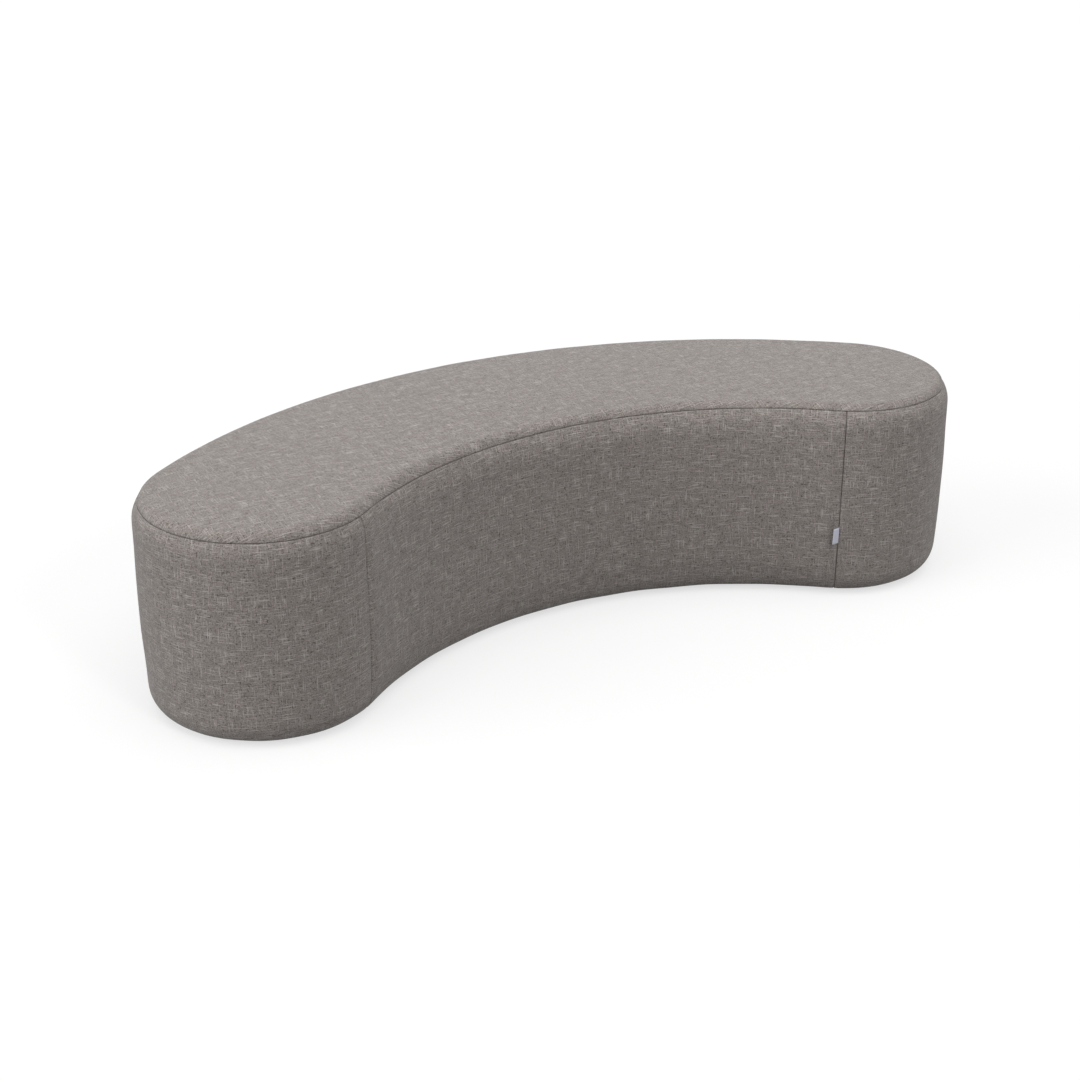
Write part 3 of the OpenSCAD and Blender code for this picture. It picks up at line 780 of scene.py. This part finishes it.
rise = np.broadcast_to((label_z + lift + height)[:, None, None], (len(height), len(loop), 1))
grid = np.concatenate([flat, rise], -1)
threads = np.stack(np.broadcast_arrays(loop_run[None], height[:, None]), -1)
ribbon = surface("side_ribbon", grid, threads=threads)
thicken = ribbon.modifiers.new("ribbon", "SOLIDIFY")
pressed_thin = 0.8
thicken.thickness, thicken.offset = ribbon_t * pressed_thin, -1
dress(ribbon, ribbon_finish(), "label_ribbon", "side_label")


# The dust cover: black non-woven cloth that closes the underside, its edge folded in and
# stapled over the cover's turned-under hem.
def dust_finish():
    material, tree, shader = finish("black_nonwoven", 0.9, Specular_IOR_Level=0.2)
    coords = put(tree, "TexCoord").outputs["Object"]
    dots = put(tree, "TexVoronoi", {"Vector": coords, "Scale": 560.0, "Randomness": 0.12})
    bonds = sums(tree, "LESS_THAN", dots.outputs["Distance"], 0.28)
    across, along = blotches(tree, coords, (140, 1300, 100)), blotches(tree, coords, (1300, 140, 100))
    fibres = sums(tree, "ADD", across, along)
    share = sums(tree, "MULTIPLY_ADD", bonds, -0.3, sums(tree, "MULTIPLY_ADD", fibres, 0.14, 0.5))
    tint(tree, shader, share, shade(28, 28, 30), shade(80, 80, 84))
    raise_by(tree, shader, sums(tree, "MULTIPLY_ADD", bonds, -1.0, fibres), depth=0.0002)
    return material


dust_lap, dust_fold, staple_inset, staples_round = 0.015, 0.014, 0.007, 156
dust_down, dust_sag, dust_sag_starts, dust_pull, dust_scallop = 0.0009, 0.0009, 0.008, 0.0006, 0.0012
dust_sag_over, dust_pull_reach, edge_power, dust_slack = 0.12, 0.012, 30, 0.0002
still_to, grows_over, edge_over, even_to, fold_down = 0.02, 0.05, 0.02, 0.012, 0.0003
dust_reach = half_w - foot_round[0] - hem_w + dust_lap
near_edge = np.array([9, 6, 3.5, 1.5, 0.4, 0]) / 1000
rows = np.concatenate([np.linspace(0, dust_reach - even_to, 30), dust_reach - near_edge])
staple_step = round_l / staples_round
free = (1 - np.cos(math.pi * places_round / staple_step) ** 2)[:, None]
hung = np.clip((dust_reach - dust_sag_starts - rows) / dust_sag_over, 0, 0.5)
sag = dust_sag * np.sin(math.pi * hung)
pull = dust_pull * free * np.exp(-(((dust_reach - staple_inset - rows) / dust_pull_reach) ** 2))
fine = slack(places_round, rows, dust_slack) * np.clip((rows - still_to) / grows_over, 0, 1)
fine = fine * np.clip((dust_reach - rows) / edge_over, 0, 1)
height = fine - dust_down - sag - pull
scallop = -dust_scallop * free * (rows / dust_reach) ** edge_power
middle, out = bench_line(places_round)
flat = middle[:, None] + out[:, None] * (rows + scallop)[..., None]
face = np.concatenate([flat, (height + lift)[..., None]], -1)[:, ::-1]
fold_rows = dust_reach - np.linspace(0, dust_fold, 3)
flat = middle[:, None] + out[:, None] * (fold_rows + scallop[:, -1:])[..., None]
fold = np.concatenate([flat, np.full((*flat.shape[:2], 1), lift - fold_down)], -1)[:, ::-1]
dust_sheet = surface("dust_sheet", np.concatenate([fold, face], 1), looped=True)
dress(dust_sheet, dust_finish(), "dust_cloth", "dust_cover")


# The staples: galvanised wire, 10 mm across, shot through the folded edge of the dust cover
# into the base board, about every 28 mm.
def staple_shape():
    """One staple of flattened wire, its crown along x and its legs up z."""
    half, leg, corner, wire_t, wire_w, rounded = 0.005, 0.004, 0.0004, 0.0006, 0.0012, 0.00012
    shape = bmesh.new()
    right = [(half - corner, 0.0), (half, corner), (half, leg)]
    outline = np.array([(-x, z) for x, z in right[::-1]] + right)
    rings = []
    for (x, z), (run_x, run_z) in zip(outline, np.gradient(outline, axis=0)):
        off_x, off_z = np.array([run_z, -run_x]) / math.hypot(run_x, run_z) * wire_t / 2
        rings.append([
            shape.verts.new((x + a * off_x, b * wire_w / 2, z + a * off_z))
            for a, b in ((1, 1), (1, -1), (-1, -1), (-1, 1))
        ])
    for low, high in zip(rings, rings[1:]):
        for j in range(4):
            shape.faces.new((low[j], low[(j + 1) % 4], high[(j + 1) % 4], high[j]))
    shape.faces.new(rings[0][::-1])
    shape.faces.new(rings[-1])
    bmesh.ops.bevel(shape, geom=shape.edges[:], offset=rounded, segments=1, affect="EDGES")
    bmesh.ops.recalc_face_normals(shape, faces=shape.faces)
    mesh = bpy.data.meshes.new("staple")
    shape.to_mesh(mesh)
    shape.free()
    return mesh


def copies(name, one, places):
    """A piece of many copies of one mesh, each with its points where places has them."""
    faces = [
        [v + k * len(one.vertices) for v in face.vertices]
        for k in range(len(places)) for face in one.polygons
    ]
    mesh = bpy.data.meshes.new(name)
    mesh.from_pydata(np.concatenate(places).tolist(), [], faces)
    bpy.data.meshes.remove(one)
    return placed(name, mesh)


staple_sunk, clear_of_glide, most_slant, most_off = 0.0013, 0.026, 0.12, 0.001
glide_names = [
    f"glide_{where}_{side}" for where in ("middle", "left", "right") for side in ("front", "back")
]
glide_places = [
    np.mean([node.matrix_world @ Vector(corner) for corner in node.bound_box], 0)[:2]
    for node in (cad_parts[name] for name in glide_names)
]
staple = staple_shape()
corners = np.array([v.co for v in staple.vertices])
staples_at = []
for place in np.arange(0, round_l, staple_step):
    (middle,), (out,) = bench_line([place])
    at = middle + out * (dust_reach - staple_inset)
    if min(np.hypot(*(at - glide)) for glide in glide_places) < clear_of_glide:
        continue
    slant = chance.uniform(-most_slant, most_slant)
    level_way = np.array([-out[1], out[0]]) * math.cos(slant) + out * math.sin(slant)
    cross_way = np.array([level_way[1], -level_way[0]])
    at = at + out * chance.uniform(-most_off, most_off)
    flat = at + corners[:, :1] * level_way + corners[:, 1:2] * cross_way
    staples_at.append(np.concatenate([flat, corners[:, 2:] + lift - staple_sunk], 1))
staples = copies("dust_cover_staples", staple, staples_at)
dress(staples, metal("galvanised_wire", shade(148, 150, 152), shade(198, 200, 202), 0.34), "screw_steel")
flat, area = crescent_size(dust_reach + dust_fold)


# The glides: six moulded plastic discs, each screwed through the dust cover into the base
# board. Their feet are scuffed a little where they have slid.
def glide_finish():
    material, tree, shader = finish("moulded_plastic", 0.45, Specular_IOR_Level=0.5)
    coords = put(tree, "TexCoord").outputs["Object"]
    grain = blotches(tree, coords, (1500, 1500, 1500), 1)
    scuffs = blotches(tree, coords, (60, 700, 60), 3)
    low = put(tree, "SeparateXYZ", {0: coords}).outputs[2]
    worn = sums(tree, "LESS_THAN", low, 0.0006)
    worn = sums(tree, "MULTIPLY", worn, sums(tree, "MULTIPLY_ADD", scuffs, 0.5, 0.35))
    tint(tree, shader, worn, shade(34, 34, 36), shade(96, 95, 93))
    tree.links.new(sums(tree, "MULTIPLY_ADD", worn, 0.3, 0.42), shader.inputs["Roughness"])
    raise_by(tree, shader, grain, depth=0.00005)
    return material


finished(glide_names, glide_finish())


# The glides' screws: countersunk wood screws of zinc-plated steel with a cross recess, sunk
# in the glides. The CAD has them without the recess, so they are made again here.
def cross_screw(head_r, shank_r, length):
    """A wood screw that points up, its head's flat face at z = 0 with a cross recess in it."""
    shape = bmesh.new()

    def walls(rings):
        for low, high in zip(rings, rings[1:]):
            for j in range(len(low)):
                k = (j + 1) % len(low)
                shape.faces.new((low[j], low[k], high[k], high[j]))
        shape.faces.new(rings[-1])

    sides, tip_l, tip_r = 24, 3 * shank_r, shank_r * 0.1
    turns = np.linspace(0, 2 * math.pi, sides, endpoint=False)
    profile = [(head_r, 0), (shank_r, head_r - shank_r), (shank_r, length - tip_l), (tip_r, length)]
    rings = [[shape.verts.new((r * math.cos(t), r * math.sin(t), z)) for t in turns] for r, z in profile]
    walls(rings)
    arm, slot, recess_depth, recess_taper = head_r * 0.55, head_r * 0.14, head_r * 0.4, 0.6
    quarter_turns = ((1, 0), (0, 1), (-1, 0), (0, -1))
    corner = [(arm, -slot), (arm, slot), (slot, slot)]
    cross = [(x * c - y * s, x * s + y * c) for c, s in quarter_turns for x, y in corner]
    levels = [
        [shape.verts.new((x * k, y * k, z)) for x, y in cross]
        for k, z in ((1, 0), (recess_taper, recess_depth))
    ]
    walls(levels)
    rims = [
        shape.edges.get((ring[j], ring[(j + 1) % len(ring)]))
        for ring in (rings[0], levels[0]) for j in range(len(ring))
    ]
    bmesh.ops.triangle_fill(shape, use_beauty=True, edges=rims)
    bmesh.ops.recalc_face_normals(shape, faces=shape.faces)
    mesh = bpy.data.meshes.new("glide_screw")
    shape.to_mesh(mesh)
    shape.free()
    return mesh


screw_head_r, screw_r, screw_l, sunk = 0.004, 0.002, 0.017, 0.004
screw = cross_screw(screw_head_r, screw_r, screw_l)
corners = np.array([v.co for v in screw.vertices])
glide_screws = copies("glide_cross_screws", screw, [corners + [*place, sunk] for place in glide_places])
dress(glide_screws, zinc, "screw_steel", "glide_screws")


# The stage: a plain white floor, a white room, three soft lamps and the photograph's camera.
# The floor is white to the camera and a middle grey to the bench, as a studio floor lights it.
def seen(tree):
    """1 for what the camera sees, straight or through glass and gloss, and 0 for other rays."""
    rays = put(tree, "LightPath").outputs
    through = sums(tree, "MAXIMUM", rays["Is Glossy Ray"], rays["Is Transmission Ray"])
    return sums(tree, "MAXIMUM", rays["Is Camera Ray"], through)


def floor_finish():
    """White to the camera with the bench's shadow on it, and a middle grey to the bench."""
    material, tree, shader = finish("studio_floor", 0.9, Specular_IOR_Level=0.0)
    shader.inputs["Base Color"].default_value = shade(120, 120, 120)
    pale = put(tree, "BsdfDiffuse", {"Color": shade(255, 255, 255)})
    glow = put(tree, "Emission", {"Color": (1, 1, 1, 1), "Strength": 1.0})
    shadow_share = 0.35
    white = put(tree, "MixShader", {0: shadow_share, 1: glow.outputs[0], 2: pale.outputs[0]})
    from_above = put(tree, "MixShader", {0: seen(tree), 1: shader.outputs[0], 2: white.outputs[0]})
    clear = put(tree, "BsdfTransparent")
    under = put(tree, "NewGeometry").outputs["Backfacing"]
    whole = put(tree, "MixShader", {0: under, 1: from_above.outputs[0], 2: clear.outputs[0]})
    tree.links.new(whole.outputs[0], tree.nodes["Material Output"].inputs["Surface"])
    return material


reach = 30
floor_mesh = bpy.data.meshes.new("studio_floor")
corners = [(-reach, -reach, 0), (reach, -reach, 0), (reach, reach, 0), (-reach, reach, 0)]
floor_mesh.from_pydata(corners, [], [(0, 1, 2, 3)])
floor = placed("studio_floor", floor_mesh)
floor.data.materials.append(floor_finish())

world = bpy.data.worlds.new("studio")
bpy.context.scene.world = world
world.use_nodes = True
room = world.node_tree
room_light = 0.40
strength = sums(room, "MULTIPLY_ADD", seen(room), 1 - room_light, room_light)
room.links.new(strength, room.nodes["Background"].inputs["Strength"])
room.nodes["Background"].inputs["Color"].default_value = (1, 1, 1, 1)

for name, tilt, bearing, spread, power in (
    ("overhead", 14, 0, 60, 1.30), ("left_side", 68, 96, 45, 1.45), ("front", 58, -12, 12, 0.58)
):
    lamp = bpy.data.lights.new(name, "SUN")
    lamp.energy, lamp.angle = power, math.radians(spread)
    placed(name, lamp).rotation_euler = (0, -math.radians(tilt), math.radians(90 - bearing))
lens = bpy.data.cameras.new("photograph")
lens.sensor_width, lens.lens = 36, 60.44
lens.clip_end = 100
camera = placed("photograph", lens)
camera.location = (-1.6724, -3.0533, 1.7027)
camera.rotation_euler = (math.radians(65.61), 0, math.radians(-28.611))
bpy.context.scene.camera = camera
bpy.context.scene.view_settings.view_transform = "Standard"
